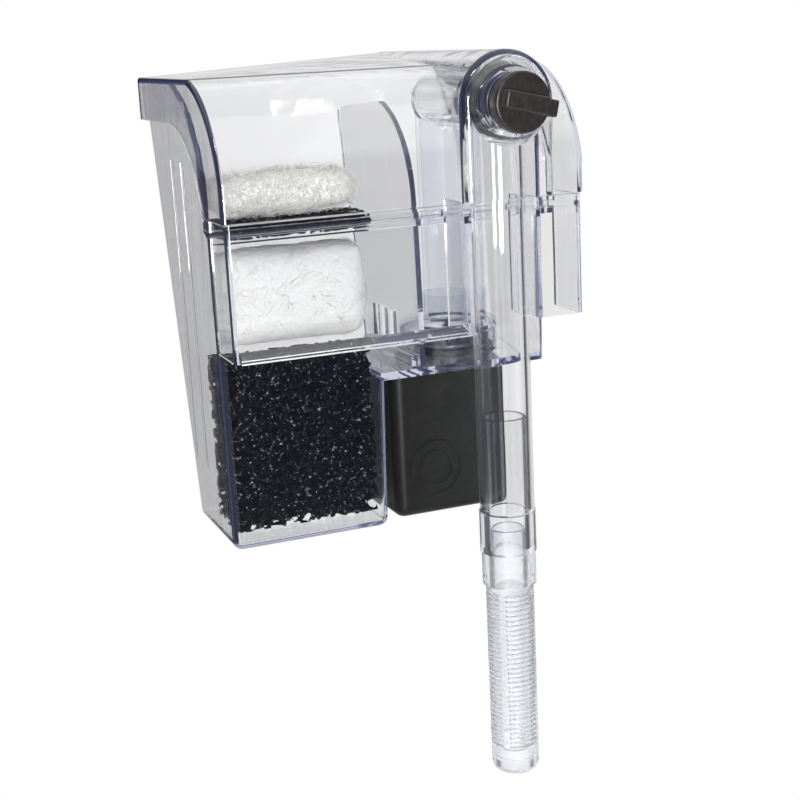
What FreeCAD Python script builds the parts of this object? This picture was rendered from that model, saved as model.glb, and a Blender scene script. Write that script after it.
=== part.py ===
import FreeCAD, Part
import os

from FreeCAD import Placement, Rotation, Vector

# Hang on back filter for a small aquarium. Units are millimetres.
# +Z is up, +X is to the right seen from the tank, -Y points into the tank.
# The origin is the middle of the seat that rests on the rim of the tank's front glass.

# ---------------------------------------------------------------- driving dimensions
WALL = 1.6                   # clear moulded walls
FIT = 0.1                    # gap between pieces that are pushed together
RUN = 0.05                   # radial running clearance

GLASS_GAP = 5.5              # room for the tank's glass
GAP_FRONT = -GLASS_GAP / 2
GAP_BACK = GLASS_GAP / 2

BODY_HALF = 50.4             # half of the box's outer width at its top
BODY_TOP = 41.7              # top edge of the side walls
BODY_BACK = 66.3             # outer back face above the sloped part
SLOPE_TOP = 30.0             # height at which the back wall starts to slope inwards
BODY_BACK_LOW = 43.0         # outer back face at the very bottom
BOX_BOTTOM = -88.5
BOX_FLOOR = 2.0              # thickness of the floor
BOX_LEFT_LOW = -49.7         # the draft brings the left wall in by this much at the bottom
SHELF_RIGHT = 50.0           # right wall at the height of the shelf
CORNER_R = 3.0               # upright corners
FOOT_R = 2.8                 # edges round the underside
RIB_YS = (30.0, 42.0)        # upright ribs on the left wall
RIB_WIDTH = 1.4
WELL_RIGHT = -1.2            # right wall of the media well at its top
WELL_RIGHT_LOW = -2.4
BOX_FRONT_LOW = 3.3
SHELF_TOP = -42.4            # floor of the pump chamber
SHELF_BOTTOM = -44.4
BRIDGE_TOP = 2.0             # the weir that clean water runs over
PARTITION_X = 9.7            # left face of the plate between media and pump chambers
RAIL_WIDTH = 1.2             # rails on the shelf on both sides of the plate's foot
RAIL_HEIGHT = 3.0
SLOT_YS = (24.0, 31.0, 38.0) # water slots near the plate's foot
SLOT_WIDTH = 4.0

HOOD_HALF = 51.6
HOOD_FRONT = -18.4
HOOD_TOP = 6.6
HOOK_TOP = 3.5               # hooks and rail that hold the hood on the bridge
HOOD_BOTTOM = -29.6
HOOD_CORNER_R = 1.4
NOTCH_LEFT = 17.5            # the notch that the drop pipe stands in
NOTCH_RIGHT = 37.4
STEP_HEIGHT = 2.4            # the left part reaches lower than the right one by this much
RIM_HEIGHT = 3.2
RIM_PROUD = 1.2              # extra thickness of the rim
LIP_HEIGHT = 3.2
LIP_PROUD = 1.7
CLIP_LENGTH = 7.5

LID_HALF = 52.3
LID_FRONT = -18.6
LID_BACK = 68.2
LID_TOP = 43.4
LID_CREST = 9.0              # where the flat top turns into the curved front
LID_FRONT_LOW = 7.0          # lower edge of the curved front
LID_SIDE_LOW = 31.0          # lower edge of the side skirts at the back
LID_EDGE_R = 1.3
FRONT_BEND = 17.5            # height at which the curved front turns upright
ARC_MIDDLE = (-10.2, 33.4)   # Y and Z half way round the curved front

PIPE_X = 28.7
PIPE_Y = -11.4               # axis of the drop pipe, inside the tank
LEG_Y = 28.0                 # axis of the inner leg, which is also the pump's axis
PIPE_Z = 33.2                # axis of the level pipe, valve and knob
PIPE_R = 8.0
DROP_BORE = 6.4
LEVEL_BORE = 6.45
LEG_R = 7.0
LEG_BORE = 5.8
DROP_END = -84.2
LEG_END = -33.2

COLLAR_R = 8.35
COLLAR_END = -96.4
SPIGOT_TOP = -56.0
EXTENSION_BORE = 5.2
SOCKET_END = -106.5
STRAINER_R = 7.15
STRAINER_BORE = 5.75
STRAINER_END = -167.3
STRAINER_SPIGOT_BORE = 4.3
CAP_HEIGHT = 6.0
CAP_ROUNDING = 3.6
SLOT_PITCH = 1.5
SLOT_HEIGHT = 0.75
SLOT_ROWS = 33
SLOT_POSTS = 4
POST_HALF = 1.0

NOSE_R = 13.9                # arched housing over the level pipe, round about the knob's axis
NOSE_FRONT = -21.4
NOSE_EDGE = 2.6              # rounding of its front edge
ROOF_RISE = 3.5              # the roof climbs this much towards the housing's back end
BOSS_FRONT = -24.8
BOSS_BASE_R = 12.0
BOSS_R = 9.3
BOSS_HOLE = 5.6
SOCKET_FRONT = NOSE_FRONT + 1.7
GROOVE_DEPTH = 0.8           # ring in the boss, round the knob's neck
GROOVE_MARGIN = 1.2

KNOB_R = 8.2
KNOB_BACK = -25.6
KNOB_FACE = -30.0
GRIP_FRONT = -34.4
GRIP_TILT = 13.0             # degrees that the grip and pointer dip to the right
GRIP_HALF = 2.4
POINTER_HALF = 2.3
POINTER_REACH = 2.3          # how far the pointer stands out past the disc

STEM_R = 3.0
PLUG_FRONT = NOSE_FRONT + 1.9
PLUG_BACK = -3.5
PLUG_R = LEVEL_BORE - RUN
PLUG_WALL = 1.2
SEAL_R = 0.5
SEAL_Y = PLUG_FRONT + 1.4
SEAL_PATH = PLUG_R - SEAL_R
SEAL_ROOM = 0.65             # half of its groove's width

PUMP_LEFT = 0.2
PUMP_RIGHT = 36.8
PUMP_FRONT = 3.4
PUMP_BACK = 44.0
PUMP_TOP = -44.6
PUMP_BOTTOM = -87.0
PUMP_WALL = 2.0
WELL_R = 5.5                 # rotor well inside the motor
WELL_WALL = 1.2
WELL_END = -73.5
VOLUTE_BORE = 12.4
VOLUTE_TOP = -35.6
SHAFT_R = 1.0
MAGNET_R = 4.8
IMPELLER_R = 9.0
HUB_R = 3.2
BLADES = 6
BLADE_HALF = 0.5

NECK_R = 11.7
NECK_TOP = -41.6
HUB_LOW = NECK_TOP - 2.4     # lower end of the impeller's hub, on top of the magnet
PUMP_SEAL_R = 0.6
PUMP_SEAL_Z = -43.2
PUMP_SEAL_PATH = VOLUTE_BORE - RUN - PUMP_SEAL_R
PUMP_SEAL_ROOM = 0.7
MEDAL_X = 13.0               # round medallion on the pump's front
MEDAL_Z = -73.0
MEDAL_RADII = (5.5, 8.5)
MEDAL_WIDTH = 0.7
MEDAL_PROUD = 0.4

CORE_LOW = -74.0
CORE_HIGH = -56.0
CORE_ARM = 6.0
YOKE_LEFT = 7.0
YOKE_RIGHT = 13.0
COIL_FRONT = LEG_Y - 5.4
COIL_BACK = LEG_Y + 5.4
COIL_DEPTH = 3.6
BOBBIN_WALL = 1.2
BOBBIN_FLANGE = 4.0

COVER_FRONT = PUMP_BACK - PUMP_WALL
GLAND_X = 26.0
GLAND_Z = -80.4
GLAND_FLANGE_R = 4.2
GLAND_FLANGE = 2.0
GLAND_WAIST_R = 3.2
GLAND_NOSE_R = 3.9
GLAND_NOSE = 9.0
CORD_HOLE_R = 2.1

BUSH_R = 1.9
COVER_PLATE = 1.6
COVER_SPOKES = 3
COVER_LOCATOR = 1.0
COVER_COLLAR = 1.5

MEDIA_LEFT = -47.4
SPONGE_RIGHT = -4.8          # the sponge stands in the narrow well
MEDIA_RIGHT = -1.8           # the pads above it are wider
MEDIA_FRONT = 5.6
MEDIA_BACK = 25.0
SPONGE = (-84.0, -34.6)      # bottom and top of each layer
FLOSS_LOWER = (-34.4, -0.4)
CARBON = (-0.2, 4.4)
FLOSS_UPPER = (4.6, 18.0)

UPRIGHT = 0.9                # least share of an edge's direction that counts as along an axis
CLOSE = 0.01                 # an edge this near a face counts as on it
PAST = 1.0                   # how far a cutter runs past a face


# ---------------------------------------------------------------- shape helpers
def block(x0, x1, y0, y1, z0, z1):
    return Part.makeBox(x1 - x0, y1 - y0, z1 - z0, Vector(x0, y0, z0))


def rod_y(radius, x, z, y0, y1):
    return Part.makeCylinder(radius, y1 - y0, Vector(x, y0, z), Vector(0, 1, 0))


def rod_z(radius, x, y, z0, z1):
    return Part.makeCylinder(radius, z1 - z0, Vector(x, y, z0), Vector(0, 0, 1))


def ring_y(outer, inner, x, z, y0, y1):
    return rod_y(outer, x, z, y0, y1).cut(rod_y(inner, x, z, y0, y1))


def ring_z(outer, inner, x, y, z0, z1):
    return rod_z(outer, x, y, z0, z1).cut(rod_z(inner, x, y, z0, z1))


def outline(start, steps, place):
    """Closed wire. A step is an end point, or a middle and an end point for an arc."""
    edges = []
    here = start
    for step in list(steps) + [start]:
        if isinstance(step[0], tuple):
            middle, end = step
            arc = Part.Arc(place(*here), place(*middle), place(*end))
            edges.append(arc.toShape())
        else:
            end = step
            edges.append(Part.LineSegment(place(*here), place(*end)).toShape())
        here = end
    return Part.Wire(edges)


def prism_x(start, steps, x0, x1):
    """Outline in Y and Z, carried along X."""
    wire = outline(start, steps, lambda y, z: Vector(x0, y, z))
    return Part.Face(wire).extrude(Vector(x1 - x0, 0, 0))


def prism_y(start, steps, y0, y1):
    """Outline in X and Z, carried along Y."""
    wire = outline(start, steps, lambda x, z: Vector(x, y0, z))
    return Part.Face(wire).extrude(Vector(0, y1 - y0, 0))


def fillet(shape, radius, wanted):
    """Round every edge whose middle point and direction satisfy wanted."""
    chosen = []
    for edge in shape.Edges:
        middle = edge.valueAt((edge.FirstParameter + edge.LastParameter) / 2)
        along = edge.tangentAt((edge.FirstParameter + edge.LastParameter) / 2)
        if wanted(middle, along):
            chosen.append(edge)
    return shape.makeFillet(radius, chosen)


def join(shapes):
    return shapes[0].multiFuse(shapes[1:]).removeSplitter()


def save(name, shape):
    if not shape.isValid():
        raise ValueError(name + " is not a valid shape")
    shape.exportStep("parts/" + name + ".step")
    print("%-18s solids %d  volume %.1f" % (name, len(shape.Solids), shape.Volume))


# ---------------------------------------------------------------- clear box
def back_face(z):
    """Outer back face of the box at a height."""
    if z >= SLOPE_TOP:
        return BODY_BACK
    share = (z - BOX_BOTTOM) / (SLOPE_TOP - BOX_BOTTOM)
    return BODY_BACK_LOW + share * (BODY_BACK - BODY_BACK_LOW)


def box_outer():
    front_bend = 17.0
    arc_middle = (12.0, 31.5)
    arc_end = (30.0, BODY_TOP)
    side_view = prism_x(
        (BOX_FRONT_LOW, BOX_BOTTOM),
        [(GAP_BACK, BRIDGE_TOP), (GAP_BACK, front_bend), (arc_middle, arc_end),
         (BODY_BACK, BODY_TOP), (BODY_BACK, SLOPE_TOP), (BODY_BACK_LOW, BOX_BOTTOM)],
        -BODY_HALF, BODY_HALF)
    front_view = prism_y(
        (BOX_LEFT_LOW, BOX_BOTTOM),
        [(WELL_RIGHT_LOW, BOX_BOTTOM), (WELL_RIGHT, SHELF_BOTTOM), (SHELF_RIGHT, SHELF_BOTTOM),
         (BODY_HALF, BODY_TOP), (-BODY_HALF, BODY_TOP)],
        0, BODY_BACK + PAST)
    solid = side_view.common(front_view)

    def corner(middle, along):
        front_or_back = middle.y < GAP_BACK + 1 or middle.y > back_face(middle.z) - 1
        return abs(along.z) > UPRIGHT and middle.z < BODY_TOP - 2 and front_or_back

    solid = fillet(solid, CORNER_R, corner)

    def underside(middle, along):
        return middle.z < BOX_BOTTOM + CLOSE

    return fillet(solid, FOOT_R, underside)


def box_inner():
    """Room inside the box, open at the top and towards the tank above the bridge."""
    floor = BOX_BOTTOM + BOX_FLOOR
    open_top = LID_TOP + 5
    open_front = GAP_FRONT - 4
    back = BODY_BACK - WALL
    side_view = prism_x(
        (BOX_FRONT_LOW + WALL, floor),
        [(GAP_BACK + WALL, BRIDGE_TOP), (open_front, BRIDGE_TOP), (open_front, open_top),
         (back, open_top), (back, SLOPE_TOP), (back_face(floor) - WALL, floor)],
        -BODY_HALF, BODY_HALF)
    front_view = prism_y(
        (BOX_LEFT_LOW + WALL, floor),
        [(WELL_RIGHT_LOW - WALL, floor), (WELL_RIGHT - WALL, SHELF_TOP),
         (SHELF_RIGHT - WALL, SHELF_TOP), (BODY_HALF - WALL, open_top), (-BODY_HALF + WALL, open_top)],
        open_front, BODY_BACK + PAST)
    return side_view.common(front_view)


def filter_box(inner):
    shell = box_outer().cut(inner)
    bridge = block(-BODY_HALF, BODY_HALF, GAP_FRONT, GAP_BACK + 1, 0, BRIDGE_TOP)
    # ribs keep the media off the left wall
    rib_left = -BODY_HALF + 0.9
    ribs = [block(rib_left, rib_left + 1.5, y, y + RIB_WIDTH, -70, 20) for y in RIB_YS]
    volute = ring_z(VOLUTE_BORE + WALL, VOLUTE_BORE, PIPE_X, LEG_Y, SHELF_TOP - 1, VOLUTE_TOP)
    rails = [block(x, x + RAIL_WIDTH, 8, 48, SHELF_TOP - 1, SHELF_TOP + RAIL_HEIGHT)
             for x in (PARTITION_X - RAIL_WIDTH - FIT, PARTITION_X + WALL + FIT)]
    solid = join([shell, bridge, volute] + ribs + rails)
    solid = solid.cut(rod_z(VOLUTE_BORE, PIPE_X, LEG_Y, SHELF_BOTTOM - PAST, VOLUTE_TOP + PAST))
    # water from the impeller leaves through a window in the volute
    window_half = 5.0
    window = block(PIPE_X - VOLUTE_BORE - 4, PIPE_X - 8, LEG_Y - window_half, LEG_Y + window_half,
                   SHELF_TOP + 0.8, VOLUTE_TOP - 1.6)
    return solid.cut(window)


def partition_wall(inner):
    foot = SHELF_TOP + FIT
    back = BODY_BACK - WALL - FIT
    front_end = (6.0, BRIDGE_TOP)
    arc_middle = (11.5, 22.0)
    arc_end = (28.0, 33.5)
    plate = prism_x(
        (GAP_BACK + WALL + FIT, foot),
        [front_end, (arc_middle, arc_end), (back, 32.0), (back, SLOPE_TOP),
         (back_face(SHELF_TOP) - WALL - 2 * FIT, foot)],
        PARTITION_X, PARTITION_X + WALL)
    plate = plate.common(inner)
    slots = [block(PARTITION_X - PAST, PARTITION_X + WALL + PAST, y, y + SLOT_WIDTH, SHELF_TOP + 4,
                   SHELF_TOP + 14) for y in SLOT_YS]
    return plate.cut(Part.makeCompound(slots))


# ---------------------------------------------------------------- hood inside the tank
def spillway_hood():
    back = GAP_FRONT
    rail_back = GAP_BACK - 1.0
    front = HOOD_FRONT + WALL
    high_end = HOOD_BOTTOM + STEP_HEIGHT
    pieces = []
    for left, right in ((-HOOD_HALF, NOTCH_LEFT), (NOTCH_RIGHT, HOOD_HALF)):
        pieces.append(block(left, right, HOOD_FRONT, front, high_end, HOOD_TOP))
        pieces.append(block(left, right, HOOD_FRONT, front + RIM_PROUD, HOOD_TOP - RIM_HEIGHT, HOOD_TOP))
        for x in (left, right - WALL):
            pieces.append(block(x, x + WALL, HOOD_FRONT, back, high_end, HOOD_TOP))
            # hooks over the bridge
            pieces.append(block(x, x + WALL, back - 1, rail_back, BRIDGE_TOP, HOOK_TOP))
    # deeper left part that ends in the lip
    overlap = high_end + 0.6
    pieces.append(block(-HOOD_HALF, NOTCH_LEFT, HOOD_FRONT, front, HOOD_BOTTOM, overlap))
    for x in (-HOOD_HALF, NOTCH_LEFT - WALL):
        pieces.append(block(x, x + WALL, HOOD_FRONT, back, HOOD_BOTTOM, overlap))
    lip_front = HOOD_FRONT - LIP_PROUD
    lip_top = HOOD_BOTTOM + LIP_HEIGHT
    lip = prism_x(
        (front, HOOD_BOTTOM),
        [(lip_front, HOOD_BOTTOM), (lip_front, HOOD_BOTTOM + 0.9), (HOOD_FRONT, lip_top), (front, lip_top)],
        -HOOD_HALF + 1.5, NOTCH_LEFT)
    rail = block(-HOOD_HALF, HOOD_HALF, rail_back - 2.2, rail_back, BRIDGE_TOP, HOOK_TOP)
    clip_right = HOOD_HALF - 1
    clip_bars = [block(clip_right - CLIP_LENGTH, clip_right, rail_back - 1, GAP_BACK + 0.3, z, z + 1.2)
                 for z in (BRIDGE_TOP, HOOK_TOP - 0.2)]
    solid = join(pieces + [rail] + clip_bars)

    def front_corner(middle, along):
        outermost = middle.y < HOOD_FRONT + CLOSE and abs(middle.x) > HOOD_HALF - CLOSE
        return abs(along.z) > UPRIGHT and outermost

    return join([fillet(solid, HOOD_CORNER_R, front_corner), lip])


# ---------------------------------------------------------------- lid
def roof_rise(side, drop):
    """Low pyramid on the flat top. Its peak is at the back, over the pipe housing."""
    floor = LID_TOP - drop
    front_side = Vector(side, LID_CREST, floor)
    front_peak = Vector(PIPE_X, LID_CREST, floor)
    back_peak = Vector(PIPE_X, LID_BACK, floor)
    back_side = Vector(side, LID_BACK, floor)
    peak = Vector(PIPE_X, LID_BACK, floor + ROOF_RISE)
    rim = [front_side, front_peak, back_peak, back_side]
    faces = [Part.Face(Part.makePolygon(rim + [front_side]))]
    for here, there in zip(rim, rim[1:] + rim[:1]):
        faces.append(Part.Face(Part.makePolygon([here, there, peak, here])))
    return Part.Solid(Part.makeShell(faces))


def pipe_housing(radius, front, back, low):
    return join([
        block(PIPE_X - radius, PIPE_X + radius, front, back, low, PIPE_Z),
        rod_y(radius, PIPE_X, PIPE_Z, front, back)])


def lid_outer():
    skirt_front = (0.8, LID_FRONT_LOW)
    skirt_middle = (11.5, 23.3)
    skirt_end = (32.5, LID_SIDE_LOW)
    outer = prism_x(
        (LID_BACK, LID_SIDE_LOW),
        [(LID_BACK, LID_TOP), (LID_CREST, LID_TOP), (ARC_MIDDLE, (LID_FRONT, FRONT_BEND)),
         (LID_FRONT, LID_FRONT_LOW), skirt_front, (skirt_middle, skirt_end)],
        -LID_HALF, LID_HALF)

    def side_edge(middle, along):
        on_side = abs(middle.x) > LID_HALF - CLOSE
        on_skirt = middle.z < LID_SIDE_LOW + 0.1 and LID_FRONT + 0.1 < middle.y < LID_BACK - 0.1
        return on_side and not on_skirt

    return fillet(outer, LID_EDGE_R, side_edge)


def lid_inner(deep):
    """Room under the lid, carried on below it down to deep."""
    arc_middle = (ARC_MIDDLE[0] + 1.2, ARC_MIDDLE[1] - 1.2)
    arc_end = (LID_FRONT + WALL, FRONT_BEND - 0.2)
    back = LID_BACK - WALL
    top = LID_TOP - WALL
    return prism_x(
        (back, deep),
        [(back, top), (LID_CREST - 0.5, top), (arc_middle, arc_end), (LID_FRONT + WALL, deep)],
        -LID_HALF + WALL, LID_HALF - WALL)


def lid():
    deep = -10.0
    side = LID_HALF - 2.0
    rises = [roof_rise(-side, 0), roof_rise(side, 0)]
    rooms = [roof_rise(-side, WALL), roof_rise(side, WALL)]
    not_back = block(-LID_HALF, LID_HALF, LID_FRONT, LID_BACK - WALL, deep, LID_TOP + ROOF_RISE + PAST)

    housing = pipe_housing(NOSE_R, NOSE_FRONT, LID_BACK, LID_FRONT_LOW)
    housing = housing.cut(block(-LID_HALF, LID_HALF, LID_CREST, LID_BACK + PAST, 0, LID_SIDE_LOW))

    def front_edge(middle, along):
        return middle.y < NOSE_FRONT + CLOSE and middle.z > LID_FRONT_LOW + CLOSE

    housing = fillet(housing, NOSE_EDGE, front_edge)
    boss = Part.makeCone(BOSS_R, BOSS_BASE_R, NOSE_FRONT - BOSS_FRONT, Vector(PIPE_X, BOSS_FRONT, PIPE_Z),
                         Vector(0, 1, 0))
    hollow = pipe_housing(NOSE_R - WALL, NOSE_FRONT + 1.5, LID_BACK - WALL, deep)

    solid = join([lid_outer()] + rises + [housing, boss])
    solid = solid.cut([lid_inner(deep), hollow] + [room.common(not_back) for room in rooms])
    solid = solid.cut(rod_y(BOSS_HOLE, PIPE_X, PIPE_Z, BOSS_FRONT - PAST, NOSE_FRONT + 2))
    groove = ring_y(BOSS_R - GROOVE_MARGIN, BOSS_HOLE + GROOVE_MARGIN, PIPE_X, PIPE_Z, BOSS_FRONT - PAST,
                    BOSS_FRONT + GROOVE_DEPTH)
    return solid.cut(groove).removeSplitter()


# ---------------------------------------------------------------- intake
def level_solid(radius, front):
    """Level run along Y that ends in a ball over the inner leg."""
    return join([rod_y(radius, PIPE_X, PIPE_Z, front, LEG_Y),
                 Part.makeSphere(radius, Vector(PIPE_X, LEG_Y, PIPE_Z))])


def level_pipe():
    solid = level_solid(PIPE_R, SOCKET_FRONT).cut(level_solid(LEVEL_BORE, SOCKET_FRONT - 1))
    ports = [rod_z(DROP_BORE, PIPE_X, PIPE_Y, 0, PIPE_Z), rod_z(LEG_BORE, PIPE_X, LEG_Y, 0, PIPE_Z)]
    return solid.cut(ports)


def branch(radius, bore, y, low):
    """Upright pipe welded under the level one, cut to its shape at the top."""
    top = PIPE_Z - 3.0
    pipe = ring_z(radius, bore, PIPE_X, y, low, top)
    return pipe.cut(level_solid(PIPE_R, SOCKET_FRONT - 1))


def drop_pipe():
    return branch(PIPE_R, DROP_BORE, PIPE_Y, DROP_END)


def inner_leg():
    return branch(LEG_R, LEG_BORE, LEG_Y, LEG_END)


def intake_extension():
    body = join([
        rod_z(DROP_BORE - RUN, PIPE_X, PIPE_Y, COLLAR_END + 1, SPIGOT_TOP),
        rod_z(COLLAR_R, PIPE_X, PIPE_Y, COLLAR_END, DROP_END - FIT)])
    return body.cut(rod_z(EXTENSION_BORE, PIPE_X, PIPE_Y, COLLAR_END - PAST, SPIGOT_TOP + PAST))


def strainer():
    socket_top = COLLAR_END - FIT
    spigot_top = socket_top + 7
    low = STRAINER_END + CAP_HEIGHT
    body = join([
        rod_z(EXTENSION_BORE - RUN, PIPE_X, PIPE_Y, socket_top - 1, spigot_top),
        rod_z(PIPE_R, PIPE_X, PIPE_Y, SOCKET_END, socket_top),
        rod_z(STRAINER_R, PIPE_X, PIPE_Y, low, SOCKET_END + 1)])
    body = body.cut(rod_z(STRAINER_SPIGOT_BORE, PIPE_X, PIPE_Y, SOCKET_END - 1, spigot_top + PAST))
    body = body.cut(rod_z(STRAINER_BORE, PIPE_X, PIPE_Y, low - PAST, SOCKET_END - 2))
    row = ring_z(STRAINER_R + PAST, STRAINER_BORE - 0.4, PIPE_X, PIPE_Y, 0, SLOT_HEIGHT)
    for number in range(SLOT_POSTS):
        post = block(0, STRAINER_R + 2, -POST_HALF, POST_HALF, -PAST, SLOT_HEIGHT + PAST)
        turn = Rotation(Vector(0, 0, 1), 45 + 360.0 * number / SLOT_POSTS)
        post.Placement = Placement(Vector(PIPE_X, PIPE_Y, 0), turn)
        row = row.cut(post)
    first = SOCKET_END - 3.0
    rows = [row.translated(Vector(0, 0, first - SLOT_PITCH * number)) for number in range(SLOT_ROWS)]
    return body.cut(Part.makeCompound(rows))


def strainer_cap():
    top = STRAINER_END + CAP_HEIGHT - FIT
    outer = rod_z(STRAINER_R, PIPE_X, PIPE_Y, STRAINER_END, top)

    def lower_edge(middle, along):
        return middle.z < STRAINER_END + CLOSE

    outer = fillet(outer, CAP_ROUNDING, lower_edge)
    plug_r = STRAINER_BORE - RUN
    plug_top = top + 2.5
    plug = rod_z(plug_r, PIPE_X, PIPE_Y, top - 1, plug_top)
    hollow = rod_z(plug_r - 1.35, PIPE_X, PIPE_Y, STRAINER_END + 2.0, plug_top + PAST)
    return outer.fuse(plug).cut(hollow).removeSplitter()


# ---------------------------------------------------------------- flow control
def valve_plug():
    body = join([
        rod_y(PLUG_R, PIPE_X, PIPE_Z, PLUG_FRONT, PLUG_BACK),
        rod_y(STEM_R, PIPE_X, PIPE_Z, KNOB_BACK - 2.0, PLUG_FRONT + 1)])
    body = body.cut(rod_y(PLUG_R - PLUG_WALL, PIPE_X, PIPE_Z, PLUG_FRONT + 3, PLUG_BACK + PAST))
    # port that lets the drop pipe's water in when the knob stands open
    port_half = 5.2
    port = block(PIPE_X - port_half, PIPE_X + port_half, PIPE_Y - 4.6, PIPE_Y + 6.0, PIPE_Z - 8, PIPE_Z)
    groove = ring_y(PLUG_R + PAST, SEAL_PATH - SEAL_R, PIPE_X, PIPE_Z, SEAL_Y - SEAL_ROOM,
                    SEAL_Y + SEAL_ROOM)
    return body.cut(port).cut(groove)


def knob_seal():
    return Part.makeTorus(SEAL_PATH, SEAL_R, Vector(PIPE_X, SEAL_Y, PIPE_Z), Vector(0, 1, 0))


def flow_knob():
    disc = rod_y(KNOB_R, PIPE_X, PIPE_Z, KNOB_FACE, KNOB_BACK)
    disc = fillet(disc, 0.8, lambda middle, along: True)
    neck = rod_y(BOSS_HOLE - 0.4, PIPE_X, PIPE_Z, KNOB_BACK - 1, PLUG_FRONT - FIT)
    grip = block(-KNOB_R + 1.0, KNOB_R - 2.6, GRIP_FRONT, KNOB_FACE + 1, -GRIP_HALF, GRIP_HALF)

    def outer_edges(middle, along):
        return middle.y < KNOB_FACE - 0.1

    grip = fillet(grip, 0.7, outer_edges)
    pointer = block(KNOB_R - 2.0, KNOB_R + POINTER_REACH, KNOB_FACE - 0.2, KNOB_BACK - 0.4,
                    -POINTER_HALF, POINTER_HALF)
    pointer = fillet(pointer, 0.6, lambda middle, along: middle.x > KNOB_R)
    turn = Placement(Vector(PIPE_X, 0, PIPE_Z), Rotation(Vector(0, 1, 0), GRIP_TILT))
    grip.Placement = turn
    pointer.Placement = turn
    solid = join([disc, neck, grip, pointer])
    return solid.cut(rod_y(STEM_R, PIPE_X, PIPE_Z, KNOB_BACK - 2.0, 0))


# ---------------------------------------------------------------- pump
def well_wall():
    return rod_z(WELL_R + WELL_WALL, PIPE_X, LEG_Y, WELL_END - 1.5, PUMP_TOP)


def pump_room():
    return block(PUMP_LEFT + PUMP_WALL, PUMP_RIGHT - PUMP_WALL, PUMP_FRONT + PUMP_WALL, PUMP_BACK + PAST,
                 PUMP_BOTTOM + PUMP_WALL, PUMP_TOP - PUMP_WALL)


def pump_housing():
    outer = block(PUMP_LEFT, PUMP_RIGHT, PUMP_FRONT, PUMP_BACK, PUMP_BOTTOM, PUMP_TOP)
    outer = fillet(outer, 3.2, lambda middle, along: abs(along.z) > UPRIGHT)
    outer = fillet(outer, 2.4, lambda middle, along: middle.z < PUMP_BOTTOM + CLOSE)
    shell = outer.cut(pump_room())
    neck = rod_z(NECK_R, PIPE_X, LEG_Y, PUMP_TOP - 1, NECK_TOP)
    groove = ring_z(NECK_R + PAST, PUMP_SEAL_PATH - PUMP_SEAL_R, PIPE_X, LEG_Y,
                    PUMP_SEAL_Z - PUMP_SEAL_ROOM, PUMP_SEAL_Z + PUMP_SEAL_ROOM)
    medals = [ring_y(r, r - MEDAL_WIDTH, MEDAL_X, MEDAL_Z, PUMP_FRONT - MEDAL_PROUD, PUMP_FRONT + 0.5)
              for r in MEDAL_RADII]
    solid = join([shell, neck.cut(groove), well_wall()] + medals)
    return solid.cut(rod_z(WELL_R, PIPE_X, LEG_Y, WELL_END, NECK_TOP + PAST))


def stator_core():
    """U of steel: a yoke under the coil and two arms that reach round the rotor's well."""
    front = COIL_FRONT - CORE_ARM
    back = COIL_BACK + CORE_ARM
    right = PUMP_RIGHT - PUMP_WALL
    core = join([
        block(YOKE_LEFT, YOKE_RIGHT, front, back, CORE_LOW, CORE_HIGH),
        block(YOKE_LEFT, right, front, COIL_FRONT, CORE_LOW, CORE_HIGH),
        block(YOKE_LEFT, right, COIL_BACK, back, CORE_LOW, CORE_HIGH)])
    return core.cut(rod_z(WELL_R + WELL_WALL, PIPE_X, LEG_Y, CORE_LOW - PAST, CORE_HIGH + PAST))


def round_yoke(margin, front, back):
    """Block that stands out from the yoke by margin on its four long sides."""
    return block(YOKE_LEFT - margin, YOKE_RIGHT + margin, front, back, CORE_LOW - margin,
                 CORE_HIGH + margin)


def coil_bobbin():
    flanges = [round_yoke(BOBBIN_FLANGE, y, y + BOBBIN_WALL) for y in (COIL_FRONT, COIL_BACK - BOBBIN_WALL)]
    bobbin = join([round_yoke(BOBBIN_WALL, COIL_FRONT, COIL_BACK)] + flanges)
    return bobbin.cut(round_yoke(0, COIL_FRONT - PAST, COIL_BACK + PAST))


def coil_winding():
    outer = round_yoke(COIL_DEPTH, COIL_FRONT + BOBBIN_WALL, COIL_BACK - BOBBIN_WALL)
    outer = fillet(outer, 1.6, lambda middle, along: abs(along.y) > UPRIGHT)
    return outer.cut(round_yoke(BOBBIN_WALL, COIL_FRONT, COIL_BACK))


def gland_flange():
    return rod_y(GLAND_FLANGE_R, GLAND_X, GLAND_Z, COVER_FRONT - GLAND_FLANGE, COVER_FRONT)


def cable_gland():
    waist = rod_y(GLAND_WAIST_R, GLAND_X, GLAND_Z, COVER_FRONT - 1.0, PUMP_BACK)
    nose = Part.makeCone(GLAND_NOSE_R, GLAND_NOSE_R - 0.9, GLAND_NOSE, Vector(GLAND_X, PUMP_BACK, GLAND_Z),
                         Vector(0, 1, 0))
    solid = join([gland_flange(), waist, nose])
    return solid.cut(rod_y(CORD_HOLE_R, GLAND_X, GLAND_Z, COVER_FRONT - 1.0, PUMP_BACK + GLAND_NOSE + PAST))


def pump_back_cover():
    margin = PUMP_WALL + FIT
    plate = block(PUMP_LEFT + margin, PUMP_RIGHT - margin, COVER_FRONT, PUMP_BACK - 2 * FIT,
                  PUMP_BOTTOM + margin, PUMP_TOP - margin)
    return plate.cut(rod_y(GLAND_WAIST_R, GLAND_X, GLAND_Z, COVER_FRONT - PAST, PUMP_BACK + PAST))


def potting():
    """Resin that fills the housing round the motor's parts."""
    room = pump_room()
    room = room.cut(block(PUMP_LEFT, PUMP_RIGHT, COVER_FRONT, PUMP_BACK + 2 * PAST, PUMP_BOTTOM, PUMP_TOP))
    return room.cut([well_wall(), stator_core(), coil_bobbin(), coil_winding(), gland_flange()])


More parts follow.
